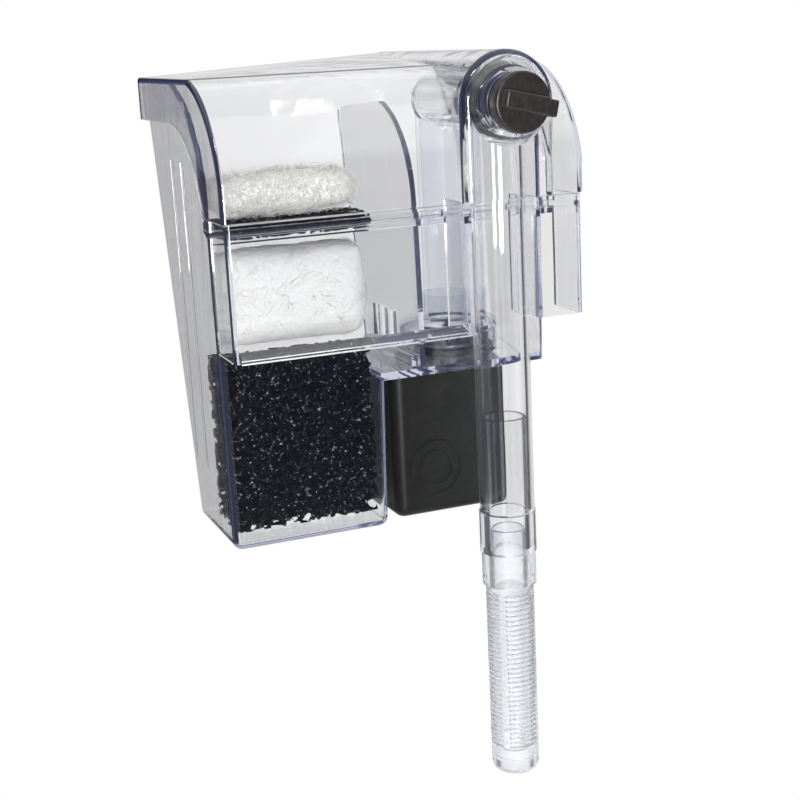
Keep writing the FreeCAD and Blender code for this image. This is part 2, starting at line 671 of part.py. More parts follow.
def pump_seal():
    return Part.makeTorus(PUMP_SEAL_PATH, PUMP_SEAL_R, Vector(PIPE_X, LEG_Y, PUMP_SEAL_Z))


def pump_shaft():
    return rod_z(SHAFT_R, PIPE_X, LEG_Y, WELL_END + 0.3, VOLUTE_TOP + 1.2)


def lower_bush():
    shaft_foot = WELL_END + 0.3
    bush = rod_z(WELL_R - FIT, PIPE_X, LEG_Y, WELL_END, WELL_END + 1.3)
    return bush.cut(rod_z(SHAFT_R, PIPE_X, LEG_Y, shaft_foot, WELL_END + 2))


def rotor_magnet():
    return ring_z(MAGNET_R, SHAFT_R + RUN, PIPE_X, LEG_Y, WELL_END + 1.7, HUB_LOW)


def impeller():
    base = NECK_TOP + 0.5
    top = VOLUTE_TOP - 1.2
    disc = 0.9
    pieces = [rod_z(HUB_R, PIPE_X, LEG_Y, HUB_LOW, top),
              rod_z(IMPELLER_R, PIPE_X, LEG_Y, base, base + disc)]
    for number in range(BLADES):
        blade = block(HUB_R - 0.5, IMPELLER_R, -BLADE_HALF, BLADE_HALF, base, top)
        turn = Rotation(Vector(0, 0, 1), 360.0 * number / BLADES)
        blade.Placement = Placement(Vector(PIPE_X, LEG_Y, 0), turn)
        pieces.append(blade)
    return join(pieces).cut(rod_z(SHAFT_R + RUN, PIPE_X, LEG_Y, HUB_LOW - PAST, top + PAST))


def impeller_cover():
    top = VOLUTE_TOP + COVER_PLATE
    collar_top = LEG_END + 8
    plate = rod_z(VOLUTE_BORE + WALL, PIPE_X, LEG_Y, VOLUTE_TOP, top)
    locator = ring_z(VOLUTE_BORE - FIT, VOLUTE_BORE - 1.2, PIPE_X, LEG_Y, VOLUTE_TOP - COVER_LOCATOR,
                     VOLUTE_TOP)
    collar = rod_z(LEG_R + COVER_COLLAR, PIPE_X, LEG_Y, VOLUTE_TOP, collar_top)
    solid = join([plate, locator, collar])
    solid = solid.cut(rod_z(LEG_R + FIT, PIPE_X, LEG_Y, VOLUTE_TOP - PAST, collar_top + PAST))
    # spokes across the inlet carry the upper bush
    spoke_half = 0.8
    spokes = []
    for number in range(COVER_SPOKES):
        spoke = block(0, LEG_R + spoke_half, -spoke_half, spoke_half, VOLUTE_TOP, top)
        turn = Rotation(Vector(0, 0, 1), 360.0 * number / COVER_SPOKES)
        spoke.Placement = Placement(Vector(PIPE_X, LEG_Y, 0), turn)
        spokes.append(spoke)
    hub = rod_z(BUSH_R + 1.0, PIPE_X, LEG_Y, VOLUTE_TOP, top)
    solid = join([solid, hub] + spokes)
    return solid.cut(rod_z(BUSH_R, PIPE_X, LEG_Y, VOLUTE_TOP - PAST, top + PAST))


def upper_bush():
    return ring_z(BUSH_R, SHAFT_R + RUN, PIPE_X, LEG_Y, VOLUTE_TOP, VOLUTE_TOP + COVER_PLATE)


# ---------------------------------------------------------------- filter media
def pad(right, heights, radius):
    low, top = heights
    solid = block(MEDIA_LEFT, right, MEDIA_FRONT, MEDIA_BACK, low, top)
    return solid.makeFillet(radius, solid.Edges)


def main():
    os.makedirs("parts", exist_ok=True)
    inner = box_inner()
    save("filter_box", filter_box(inner))
    save("partition_wall", partition_wall(inner))
    makers = [spillway_hood, lid, level_pipe, drop_pipe, inner_leg, intake_extension, strainer, strainer_cap,
              valve_plug, knob_seal, flow_knob, pump_housing, pump_back_cover, stator_core, coil_bobbin,
              coil_winding, potting, cable_gland, pump_seal, pump_shaft, lower_bush, rotor_magnet, impeller,
              impeller_cover, upper_bush]
    for make in makers:
        save(make.__name__, make())
    save("sponge_block", pad(SPONGE_RIGHT, SPONGE, 1.5))
    save("floss_lower", pad(MEDIA_RIGHT, FLOSS_LOWER, 3.0))
    save("carbon_pad", pad(MEDIA_RIGHT, CARBON, 1.0))
    save("floss_upper", pad(MEDIA_RIGHT - 1.0, FLOSS_UPPER, 3.0))


main()
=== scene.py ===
import itertools
import math

import bmesh
import bpy
import numpy as np
from mathutils import Matrix, Vector


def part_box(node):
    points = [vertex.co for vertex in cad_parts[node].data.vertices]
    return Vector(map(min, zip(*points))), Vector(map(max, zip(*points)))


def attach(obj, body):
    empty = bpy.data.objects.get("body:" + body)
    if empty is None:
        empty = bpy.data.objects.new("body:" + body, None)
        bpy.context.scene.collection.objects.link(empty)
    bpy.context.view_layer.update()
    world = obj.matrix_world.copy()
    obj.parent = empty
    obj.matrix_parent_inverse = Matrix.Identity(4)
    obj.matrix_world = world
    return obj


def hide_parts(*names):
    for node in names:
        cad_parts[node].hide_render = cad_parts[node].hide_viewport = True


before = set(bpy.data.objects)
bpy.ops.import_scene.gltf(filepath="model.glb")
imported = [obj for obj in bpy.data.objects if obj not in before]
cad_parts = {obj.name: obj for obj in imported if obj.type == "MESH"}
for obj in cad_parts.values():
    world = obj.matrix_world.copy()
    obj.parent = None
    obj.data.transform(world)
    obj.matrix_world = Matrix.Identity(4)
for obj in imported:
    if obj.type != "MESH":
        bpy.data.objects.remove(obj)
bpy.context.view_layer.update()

MM = 0.001


# ---------------------------------------------------------------- node helpers
class Nodes:
    """A material's node tree, built with short calls."""

    def __init__(self, name):
        self.material = bpy.data.materials.new(name)
        self.material.use_nodes = True
        self.tree = self.material.node_tree
        self.tree.nodes.clear()
        self.output = self.tree.nodes.new("ShaderNodeOutputMaterial")

    def add(self, kind, **values):
        node = self.tree.nodes.new(kind)
        for key, value in values.items():
            if hasattr(node, key):
                setattr(node, key, value)
            else:
                node.inputs[key.replace("_", " ")].default_value = value
        return node

    def link(self, source, target):
        self.tree.links.new(source, target)

    def mix(self, share, first, second):
        node = self.add("ShaderNodeMixShader")
        self.link(share, node.inputs["Fac"])
        self.link(first, node.inputs[1])
        self.link(second, node.inputs[2])
        return node.outputs["Shader"]

    def finish(self, shader):
        self.link(shader, self.output.inputs["Surface"])
        return self.material


def grey(value):
    return (value, value, value)


def noise_of(nodes, scale, detail=4.0, roughness=0.5, coords=None):
    texture = nodes.add("ShaderNodeTexNoise", Scale=scale, Detail=detail, Roughness=roughness)
    if coords is None:
        coords = nodes.add("ShaderNodeTexCoord").outputs["Object"]
    nodes.link(coords, texture.inputs["Vector"])
    return texture.outputs["Fac"]


def stretched(nodes, scale):
    mapping = nodes.add("ShaderNodeMapping")
    mapping.inputs["Scale"].default_value = scale
    nodes.link(nodes.add("ShaderNodeTexCoord").outputs["Object"], mapping.inputs["Vector"])
    return mapping.outputs["Vector"]


def set_stops(ramp, stops):
    elements = ramp.color_ramp.elements
    while len(elements) < len(stops):
        elements.new(0.5)
    for element, (place, colour) in zip(elements, stops):
        element.position = place
        element.color = (*colour, 1.0)


def ramp_of(nodes, source, stops):
    ramp = nodes.add("ShaderNodeValToRGB")
    set_stops(ramp, stops)
    nodes.link(source, ramp.inputs["Fac"])
    return ramp.outputs["Color"]


def bump_of(nodes, height, strength, distance):
    bump = nodes.add("ShaderNodeBump", Strength=strength, Distance=distance)
    nodes.link(height, bump.inputs["Height"])
    return bump.outputs["Normal"]


# ---------------------------------------------------------------- materials
def see_through(nodes, glass, veil):
    """Soft light passes straight through a thin wall, dimmed by veil."""
    path = nodes.add("ShaderNodeLightPath")
    through = nodes.add("ShaderNodeBsdfTransparent")
    through.inputs["Color"].default_value = (*veil, 1.0)
    inner = nodes.mix(path.outputs["Is Diffuse Ray"], glass, through.outputs["BSDF"])
    return nodes.mix(path.outputs["Is Shadow Ray"], inner, through.outputs["BSDF"])


def clear_plastic(name, tint=(0.15, 0.18, 0.33), density=12.0, glow=6.5,
                  painted_edge_tint=(0.82, 0.83, 0.90), roughness=0.015, ripple=0.05):
    """Moulded clear plastic: faint flow ripples, a painted violet-blue glow inside the wall where
    light would stray along it, and painted edge shade that greys the glass towards grazing angles.
    """
    nodes = Nodes(name)
    facing = nodes.add("ShaderNodeLayerWeight", Blend=0.3).outputs["Facing"]
    # painted edge shade: the glass colour turns grey-violet towards grazing angles, standing in for
    # the lines light draws along curved edges
    skin = ramp_of(nodes, facing, [(0.0, grey(1.0)), (0.6, grey(0.995)), (1.0, painted_edge_tint)])
    flow = noise_of(nodes, 45.0, 3.0, 0.5, stretched(nodes, (1.0, 1.0, 0.25)))
    normal = bump_of(nodes, flow, ripple, 0.003)
    wear = ramp_of(nodes, noise_of(nodes, 420.0, 5.0, 0.7),
                   [(0.5, grey(roughness)), (0.85, grey(roughness * 4.0 + 0.02))])
    glass = nodes.add("ShaderNodeBsdfPrincipled", IOR=1.52)
    glass.inputs["Transmission Weight"].default_value = 1.0
    nodes.link(skin, glass.inputs["Base Color"])
    nodes.link(wear, glass.inputs["Roughness"])
    nodes.link(normal, glass.inputs["Normal"])
    inside = nodes.add("ShaderNodeVolumeAbsorption", Density=density)
    inside.inputs["Color"].default_value = (*tint, 1.0)
    # painted glow: the wall's volume gives off violet-blue light of its own, standing in for light
    # trapped along the wall
    painted_glow = nodes.add("ShaderNodeEmission", Strength=glow)
    painted_glow.inputs["Color"].default_value = (0.26, 0.30, 0.60, 1.0)
    both = nodes.add("ShaderNodeAddShader")
    nodes.link(inside.outputs["Volume"], both.inputs[0])
    nodes.link(painted_glow.outputs["Emission"], both.inputs[1])
    nodes.link(both.outputs["Shader"], nodes.output.inputs["Volume"])
    return nodes.finish(see_through(nodes, glass.outputs["BSDF"], (0.955, 0.957, 0.965)))


def thin_clear(name, head_on=(0.96, 0.965, 0.975), aslant_shade=(0.74, 0.76, 0.86)):
    """Thin clear wall deep inside the filter, which tints what is behind it and doesn't bend it,
    with painted edge shade: darker and bluer towards grazing angles.
    """
    nodes = Nodes(name)
    facing = nodes.add("ShaderNodeLayerWeight", Blend=0.35).outputs["Facing"]
    # painted edge shade: the see-through colour darkens and turns bluer towards grazing angles
    tint = ramp_of(nodes, facing, [(0.0, head_on), (0.55, head_on), (1.0, aslant_shade)])
    through = nodes.add("ShaderNodeBsdfTransparent")
    nodes.link(tint, through.inputs["Color"])
    shine = nodes.add("ShaderNodeBsdfPrincipled", Roughness=0.06)
    shine.inputs["Base Color"].default_value = (0.45, 0.47, 0.58, 1.0)
    nodes.link(bump_of(nodes, noise_of(nodes, 120.0, 3.0), 0.06, 0.001), shine.inputs["Normal"])
    share = ramp_of(nodes, facing, [(0.0, grey(0.04)), (0.7, grey(0.06)), (1.0, grey(0.5))])
    return nodes.finish(nodes.mix(share, through.outputs["BSDF"], shine.outputs["BSDF"]))


def frosted_plastic(name):
    """Translucent strainer plastic: a fine haze over the clear, with painted edge shade towards
    grazing angles.
    """
    nodes = Nodes(name)
    rough = ramp_of(nodes, noise_of(nodes, 300.0, 4.0, 0.6), [(0.3, grey(0.10)), (0.8, grey(0.24))])
    facing = nodes.add("ShaderNodeLayerWeight", Blend=0.4).outputs["Facing"]
    # painted edge shade: the colour darkens and turns bluer towards grazing angles
    tint = ramp_of(nodes, facing, [(0.0, (0.93, 0.935, 0.945)), (1.0, (0.70, 0.71, 0.78))])
    glass = nodes.add("ShaderNodeBsdfPrincipled", IOR=1.46)
    glass.inputs["Transmission Weight"].default_value = 0.93
    nodes.link(tint, glass.inputs["Base Color"])
    nodes.link(rough, glass.inputs["Roughness"])
    nodes.link(bump_of(nodes, noise_of(nodes, 700.0, 3.0), 0.25, 0.0003), glass.inputs["Normal"])
    return nodes.finish(see_through(nodes, glass.outputs["BSDF"], (0.93, 0.935, 0.945)))


def moulded_plastic(name, dark, light, roughness, grain=900.0, bump=0.15, specular=0.5):
    """Opaque moulded plastic with a fine grain and slight colour drift."""
    nodes = Nodes(name)
    colour = ramp_of(nodes, noise_of(nodes, 500.0, 6.0, 0.7), [(0.3, dark), (0.75, light)])
    rough = ramp_of(nodes, noise_of(nodes, 60.0, 6.0, 0.6),
                    [(0.3, grey(roughness * 0.9)), (0.75, grey(min(1.0, roughness * 1.1)))])
    normal = bump_of(nodes, noise_of(nodes, grain, 3.0), bump, 0.0004)
    shader = nodes.add("ShaderNodeBsdfPrincipled")
    shader.inputs["Specular IOR Level"].default_value = specular
    nodes.link(colour, shader.inputs["Base Color"])
    nodes.link(rough, shader.inputs["Roughness"])
    nodes.link(normal, shader.inputs["Normal"])
    return nodes.finish(shader.outputs["BSDF"])


def layered_metal(name, colour, roughness, stripes):
    """Metal in fine layers, such as laminations or windings, stacked along an axis."""
    nodes = Nodes(name)
    wave = nodes.add("ShaderNodeTexWave", Scale=stripes, Distortion=0.4, bands_direction="Z")
    nodes.link(nodes.add("ShaderNodeTexCoord").outputs["Object"], wave.inputs["Vector"])
    darker = tuple(0.55 * c for c in colour)
    tint = ramp_of(nodes, wave.outputs["Fac"], [(0.1, darker), (0.6, colour)])
    shader = nodes.add("ShaderNodeBsdfPrincipled", Metallic=1.0, Roughness=roughness)
    nodes.link(tint, shader.inputs["Base Color"])
    nodes.link(bump_of(nodes, wave.outputs["Fac"], 0.5, 0.0002), shader.inputs["Normal"])
    return nodes.finish(shader.outputs["BSDF"])


def black_foam(name, skin=(0.46, 0.47, 0.49)):
    """Open-cell foam: near black, with small specks of skin colour, painted glints where cells
    would catch the light.
    """
    nodes = Nodes(name)
    glint_speck = noise_of(nodes, 850.0, 3.0, 0.65)
    faint = tuple(0.13 * c for c in skin)
    # painted glints: specks of skin colour in the base colour stand in for highlights on the cells
    colour = ramp_of(nodes, glint_speck, [(0.0, (0.0008, 0.001, 0.001)), (0.58, (0.002, 0.0022, 0.0024)),
                                    (0.63, faint), (0.73, skin)])
    rough = ramp_of(nodes, noise_of(nodes, 500.0, 2.0), [(0.35, grey(0.08)), (0.7, grey(0.22))])
    shader = nodes.add("ShaderNodeBsdfPrincipled")
    shader.inputs["Specular IOR Level"].default_value = 0.09
    nodes.link(colour, shader.inputs["Base Color"])
    nodes.link(rough, shader.inputs["Roughness"])
    nodes.link(bump_of(nodes, glint_speck, 0.12, 0.0003), shader.inputs["Normal"])
    return nodes.finish(shader.outputs["BSDF"])


def white_wadding(name):
    """Loose white fibre: soft, with tiny bright and grey strands that run along it."""
    nodes = Nodes(name)
    strand = noise_of(nodes, 2400.0, 5.0, 0.7, stretched(nodes, (0.35, 1.0, 1.0)))
    colour = ramp_of(nodes, strand, [(0.32, (0.76, 0.75, 0.70)), (0.5, (0.87, 0.865, 0.82)),
                                     (0.68, (0.95, 0.945, 0.91))])
    shader = nodes.add("ShaderNodeBsdfPrincipled", Roughness=0.85)
    shader.inputs["Sheen Weight"].default_value = 0.25
    nodes.link(colour, shader.inputs["Base Color"])
    nodes.link(bump_of(nodes, strand, 0.35, 0.0003), shader.inputs["Normal"])
    return nodes.finish(shader.outputs["BSDF"])


def floor_material():
    """White sweep, lit from below like a light table, gentler on the filter than on the eye."""
    nodes = Nodes("floor")
    path = nodes.add("ShaderNodeLightPath")
    lit = nodes.add("ShaderNodeEmission", Strength=1.0)
    gentle = nodes.add("ShaderNodeEmission", Strength=0.35)
    return nodes.finish(nodes.mix(path.outputs["Is Diffuse Ray"], lit.outputs["Emission"],
                                  gentle.outputs["Emission"]))


def make_materials():
    return {
        "clear": clear_plastic("clear_box"),
        "lid": clear_plastic("clear_lid"),
        "hood": clear_plastic("clear_hood"),
        "inner": clear_plastic("clear_inner", tint=(0.40, 0.43, 0.58), density=7.0, glow=5.0,
                               painted_edge_tint=(0.88, 0.89, 0.93), roughness=0.06),
        "thin": thin_clear("clear_thin"),
        "pipe": clear_plastic("clear_pipe", tint=(0.35, 0.36, 0.5), glow=3.0),
        "frosted": frosted_plastic("strainer_frost"),
        "knob": moulded_plastic("knob_black", (0.009, 0.0076, 0.0068), (0.026, 0.0215, 0.019), 0.34,
                                700.0, 0.3),
        "pump": moulded_plastic("pump_black", (0.004, 0.0045, 0.004), (0.009, 0.010, 0.009), 0.40,
                                900.0, 0.1, 0.25),
        "rubber": moulded_plastic("seal_black", (0.012, 0.012, 0.012), (0.03, 0.03, 0.03), 0.65),
        "nylon": moulded_plastic("nylon", (0.74, 0.72, 0.66), (0.84, 0.82, 0.76), 0.45),
        "rotor": moulded_plastic("rotor_grey", (0.05, 0.06, 0.07), (0.09, 0.105, 0.12), 0.35),
        "resin": moulded_plastic("resin", (0.012, 0.012, 0.014), (0.02, 0.02, 0.022), 0.2),
        "ceramic": moulded_plastic("ceramic", (0.85, 0.84, 0.80), (0.93, 0.92, 0.88), 0.15),
        "ferrite": moulded_plastic("ferrite", (0.03, 0.03, 0.032), (0.06, 0.06, 0.062), 0.55),
        "core": layered_metal("lamination", (0.55, 0.56, 0.58), 0.35, 900.0),
        "copper": layered_metal("winding", (0.72, 0.33, 0.16), 0.3, 1200.0),
    }


WEARING = {
    "clear": ["filter_box"],
    "inner": ["partition_wall"],
    "thin": ["impeller_cover", "inner_leg"],
    "lid": ["lid"],
    "hood": ["spillway_hood"],
    "pipe": ["level_pipe", "drop_pipe", "intake_extension"],
    "frosted": ["strainer", "strainer_cap"],
    "knob": ["flow_knob", "valve_plug"],
    "pump": ["pump_housing", "pump_back_cover"],
    "rubber": ["knob_seal", "pump_seal", "lower_bush", "upper_bush", "cable_gland"],
    "rotor": ["impeller"],
    "core": ["stator_core"],
    "copper": ["coil_winding"],
    "nylon": ["coil_bobbin"],
    "resin": ["potting"],
    "ceramic": ["pump_shaft"],
    "ferrite": ["rotor_magnet"],
}


def dress(materials):
    """Gives each CAD node that shows its finished material."""
    for key, names in WEARING.items():
        for name in names:
            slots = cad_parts[name].data.materials
            slots.clear()
            slots.append(materials[key])


# ---------------------------------------------------------------- mesh helpers
def mesh_object(name, points, faces, material):
    data = bpy.data.meshes.new(name)
    data.from_pydata(np.asarray(points).tolist(), [], faces)
    data.update()
    data.polygons.foreach_set("use_smooth", [True] * len(data.polygons))
    data.materials.append(material)
    piece = bpy.data.objects.new(name, data)
    bpy.context.collection.objects.link(piece)
    return piece


def soft_media(piece, node):
    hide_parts(node)
    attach(piece, "media")


def soft_noise(points, rng, size, count=24):
    """Smooth random field made of plane waves about one size long."""
    total = np.zeros(points.shape[:-1])
    for _ in range(count):
        direction = rng.standard_normal(3)
        direction /= np.linalg.norm(direction)
        wave = 2 * math.pi / (size * rng.uniform(0.6, 1.8))
        total += np.sin(points @ direction * wave + rng.uniform(0, 2 * math.pi))
    return total / math.sqrt(count)


def block_distance(points, low, high, radius):
    """Signed distance to a rounded block, negative inside."""
    middle = (low + high) / 2
    reach = (high - low) / 2 - radius
    away = np.abs(points - middle) - reach
    outside = np.linalg.norm(np.maximum(away, 0), axis=-1)
    inside = np.minimum(away.max(axis=-1), 0)
    return outside + inside - radius


# ---------------------------------------------------------------- open-cell foam
def three_nearest(points, pore, low, rng, high):
    """Distances from each point to the nearest three of a jittered grid of bubble centres."""
    start = low - 2 * pore
    count = np.ceil((high - start) / pore).astype(int) + 3
    grid = np.meshgrid(*[np.arange(n) for n in count], indexing="ij")
    centres = (np.stack(grid, axis=-1) + 0.5) * pore
    centres += rng.uniform(-0.42, 0.42, centres.shape) * pore
    where = np.floor((points - start) / pore).astype(int)
    best = [np.full(points.shape[:-1], 1.0) for _ in range(3)]
    for step in itertools.product((-1, 0, 1), repeat=3):
        near = np.clip(where + step, 0, count - 1)
        gap = points - start - centres[near[..., 0], near[..., 1], near[..., 2]]
        far = np.linalg.norm(gap, axis=-1)
        for rank in range(3):
            closer = np.minimum(best[rank], far)
            far = np.maximum(best[rank], far)
            best[rank] = closer
    return best


def surface_nets(field, origin, pitch):
    """Quads round the part of a grid where field is below zero, one vertex per mixed cell."""
    shape = np.array(field.shape)
    total = np.zeros((*(shape - 1), 3))
    count = np.zeros(shape - 1)
    corners = list(itertools.product((0, 1), repeat=3))

    def at(corner):
        return tuple(slice(c, c + n - 1) for c, n in zip(corner, shape))

    for first, second in itertools.combinations(corners, 2):
        if sum(abs(a - b) for a, b in zip(first, second)) != 1:
            continue
        here = field[at(first)]
        there = field[at(second)]
        crossing = (here < 0) != (there < 0)
        share = np.where(crossing, here / np.where(crossing, here - there, 1.0), 0.0)
        for axis in range(3):
            total[..., axis] += crossing * (first[axis] + share * (second[axis] - first[axis]))
        count += crossing
    mixed = count > 0
    number = np.full(mixed.shape, -1)
    number[mixed] = np.arange(mixed.sum())
    cells = np.argwhere(mixed)
    points = origin + (cells + total[mixed] / count[mixed][:, None]) * pitch

    faces = []
    inside = field < 0
    for axis in range(3):
        one, two = [a for a in range(3) if a != axis]
        ahead = np.take(inside, range(1, shape[axis]), axis=axis)
        behind = np.take(inside, range(0, shape[axis] - 1), axis=axis)
        for cell in (ahead, behind):
            changed = np.argwhere(cell & ~(behind if cell is ahead else ahead))
            keep = (changed[:, one] > 0) & (changed[:, two] > 0)
            keep &= (changed[:, one] < shape[one] - 1) & (changed[:, two] < shape[two] - 1)
            changed = changed[keep]
            ring = []
            for back_one, back_two in ((1, 1), (0, 1), (0, 0), (1, 0)):
                index = changed.copy()
                index[:, one] -= back_one
                index[:, two] -= back_two
                ring.append(number[index[:, 0], index[:, 1], index[:, 2]])
            quads = np.stack(ring, axis=-1)
            turned = (cell is ahead) == (axis != 1)
            faces.extend((quads[:, ::-1] if turned else quads).tolist())
    return points, faces


def foam(name, node, pore, strand, pitch, core_inset, material, seed, ragged=0.0):
    """Reticulated foam: strands where three bubbles meet, round a dense dark middle."""
    low, high = (np.array(corner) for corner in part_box(node))
    rng = np.random.default_rng(seed)
    count = np.ceil((high - low) / pitch).astype(int) + 3
    origin = low - pitch
    steps = np.meshgrid(*[np.arange(n) * pitch for n in count], indexing="ij")
    points = np.stack(steps, axis=-1) + origin
    nearest = three_nearest(points, pore, low, rng, high)
    strands = nearest[2] - nearest[0] - strand
    uneven = 0.25 * strand * soft_noise(points, rng, 3 * pore)
    strands += uneven
    skin = block_distance(points, low, high, 1.0 * MM)
    skin += 0.15 * MM * (1 + soft_noise(points, rng, 2 * pore))
    if ragged:
        skin = np.maximum(skin, low[0] + ragged - points[..., 0])
        teeth = ragged * (0.5 + 0.5 * soft_noise(points * (0.15, 1, 1), rng, 1.5 * pore))
        skin = np.maximum(skin, points[..., 0] - (high[0] - np.abs(teeth)))
    core_low, core_high = core_inset
    core = block_distance(points, low + core_low, high - core_high, 2.0 * MM)
    core += 0.5 * MM * soft_noise(points, rng, 3 * pore)
    field = np.maximum(np.minimum(strands, core), skin)
    points, faces = surface_nets(field, origin, pitch)
    piece = mesh_object(name, points, faces, material)
    soft_media(piece, node)
    return piece


# ---------------------------------------------------------------- white wadding
def even_block(low, high, step):
    """Closed block as an even grid of quads, its long edges rolled in."""
    size = np.array(high) - np.array(low)
    mesh = bmesh.new()
    bmesh.ops.create_cube(mesh, size=1.0)
    for axis in range(3):
        cuts = max(1, int(round(size[axis] / step)) - 1)
        along = [e for e in mesh.edges if abs((e.verts[0].co - e.verts[1].co)[axis]) > 0.5]
        bmesh.ops.subdivide_edges(mesh, edges=along, cuts=cuts, use_grid_fill=True)
    across = np.array([v.co[:] for v in mesh.verts]) * 2
    faces = [[v.index for v in f.verts] for f in mesh.faces]
    mesh.free()
    squared = across ** 2
    across[:, 0] *= 1 - 0.03 * (squared[:, 1] + squared[:, 2])
    across[:, 1] *= 1 - 0.16 * squared[:, 2]
    across[:, 2] *= 1 - 0.22 * squared[:, 1]
    return (np.array(low) + np.array(high)) / 2 + across * size / 2, faces


CLOTH_SCALE = 15.0            # cloth settles better at this many times life size
CLOTH_FRAMES = 20


def puffed(points, faces, material, cap):
    """The block blown up a little as cloth, then refined. Returns its points, normals and faces."""
    piece = mesh_object("cloth_work", points * CLOTH_SCALE, faces, material)
    cloth = piece.modifiers.new("cloth", "CLOTH")
    cloth.settings.use_pressure = True
    cloth.settings.uniform_pressure_force = 4.0
    cloth.settings.effector_weights.gravity = 0.0
    cloth.point_cache.frame_start = 1
    cloth.point_cache.frame_end = CLOTH_FRAMES
    for number in range(1, CLOTH_FRAMES + 1):
        bpy.context.scene.frame_set(number)
    graph = bpy.context.evaluated_depsgraph_get()
    blown = bpy.data.meshes.new_from_object(piece.evaluated_get(graph))
    moved = np.array([v.co[:] for v in blown.vertices]) / CLOTH_SCALE - points
    piece.modifiers.clear()
    bpy.context.scene.frame_set(1)
    far = np.linalg.norm(moved, axis=1)[:, None]
    moved *= np.minimum(1.0, cap / np.maximum(far, 1e-9))
    piece.data.vertices.foreach_set("co", (points + moved).ravel())
    calm = piece.modifiers.new("calm", "SMOOTH")
    calm.iterations = 30
    finer = piece.modifiers.new("finer", "SUBSURF")
    finer.levels = 2
    graph = bpy.context.evaluated_depsgraph_get()
    smooth = bpy.data.meshes.new_from_object(piece.evaluated_get(graph))
    result = np.array([v.co[:] for v in smooth.vertices])
    normals = np.array([v.normal[:] for v in smooth.vertices])
    quads = [list(f.vertices) for f in smooth.polygons]
    bpy.data.objects.remove(piece)
    return result, normals, quads


def fibres(rng, points, normals, count, length, thickness, proud):
    """Short bent fibres that lie on a surface, as thin three-sided tubes."""
    stations = 6
    sides = 3
    verts = []
    faces = []
    for pick in rng.integers(0, len(points), count):
        normal = normals[pick]
        along = np.cross(normal, rng.standard_normal(3))
        along /= max(np.linalg.norm(along), 1e-6)
        side = np.cross(normal, along)
        bend = rng.uniform(-0.8, 0.8)
        lift = proud * rng.uniform(0.0, 1.0) ** 2
        reach = length * rng.uniform(0.4, 1.3)
        base = len(verts)
        for number in range(stations):
            t = number / (stations - 1) - 0.5
            middle = (points[pick] + along * reach * t + side * reach * bend * t * t
                      + normal * lift * (1 - 3.6 * t * t))
            for corner in range(sides):
                angle = 2 * math.pi * corner / sides
                outward = normal * math.cos(angle) + side * math.sin(angle)
                verts.append(middle + thickness * outward)
        for number in range(stations - 1):
            for corner in range(sides):
                a = base + number * sides + corner
                b = base + number * sides + (corner + 1) % sides
                faces.append([a, b, b + sides, a + sides])
        last = base + (stations - 1) * sides
        faces.append([base + 2, base + 1, base])
        faces.append([last, last + 1, last + 2])
    return np.array(verts), faces


def floss_pad(name, node, material, seed, strands, headroom=0.0):
    """White wadding: a puffed pad, lumpy, matted and covered in loose fibres."""
    low, high = (np.array(corner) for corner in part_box(node))
    cap = 1.2 * MM
    inset = cap + 0.3 * MM
    points, faces = even_block(low + inset, high - inset, 2.2 * MM)
    points, normals, faces = puffed(points, faces, material, cap)
    rng = np.random.default_rng(seed)
    lumps = 0.15 * MM * soft_noise(points, rng, 9 * MM)
    lumps += 0.05 * MM * soft_noise(points, rng, 1.6 * MM)
    points = points + normals * lumps[:, None]
    hair, hair_faces = fibres(rng, points, normals, strands, 4.5 * MM, 0.05 * MM,
                              0.8 * MM + headroom)
    offset = len(points)
    ceiling = high + np.array((0, 0, headroom))
    points = np.vstack([np.clip(points, low, high), np.clip(hair, low, ceiling)])
    faces = faces + [[i + offset for i in f] for f in hair_faces]
    piece = mesh_object(name, points, faces, material)
    soft_media(piece, node)
    return piece


def make_media():
    black = black_foam("foam_black")
    # on the carbon the brown specks are the granules' own colour and painted glints as well
    carbon = black_foam("carbon_black", skin=(0.20, 0.13, 0.09))
    white = white_wadding("wadding_white")
    # bare strands are left at the foot, where light comes in from below
    foam("sponge", "sponge_block", 3.5 * MM, 0.85 * MM, 0.45 * MM,
         (np.array((5, 5, 10)) * MM, np.array((5, 5, 4)) * MM), black, 11)
    foam("carbon_layer", "carbon_pad", 2.2 * MM, 0.6 * MM, 0.32 * MM,
         (np.array((2, 2, 1.2)) * MM, np.array((4, 2, 1.2)) * MM), carbon, 12, ragged=2.5 * MM)
    floss_pad("floss_low", "floss_lower", white, 21, 900)
    floss_pad("floss_high", "floss_upper", white, 22, 3600, headroom=1.4 * MM)


# ---------------------------------------------------------------- stage
def make_camera():
    """Tank side, from the left and a little above."""
    data = bpy.data.cameras.new("camera")
    data.sensor_width = 36.0
    data.lens = 66.98
    camera = bpy.data.objects.new("camera", data)
    bpy.context.collection.objects.link(camera)
    yaw = math.radians(21.196)
    pitch = math.radians(-13.821)
    roll = math.radians(-2.918)
    forward = Vector((math.sin(yaw) * math.cos(pitch), math.cos(yaw) * math.cos(pitch),
                      math.sin(pitch)))
    level = Vector((math.cos(yaw), -math.sin(yaw), 0.0))
    above = level.cross(forward)
    right = math.cos(roll) * level + math.sin(roll) * above
    up = math.cos(roll) * above - math.sin(roll) * level
    turn = Matrix((right, up, -forward)).transposed().to_4x4()
    camera.matrix_world = Matrix.Translation(Vector((-149.28, -388.06, 52.43)) * MM) @ turn
    bpy.context.scene.camera = camera


def make_floor():
    """Round white table, well below the hanging filter."""
    radius = 0.5
    depth = -0.36
    sides = 64
    turn = [2 * math.pi * number / sides for number in range(sides)]
    rim = [(radius * math.cos(angle), radius * math.sin(angle), depth) for angle in turn]
    floor = mesh_object("floor", rim, [list(range(sides))], floor_material())


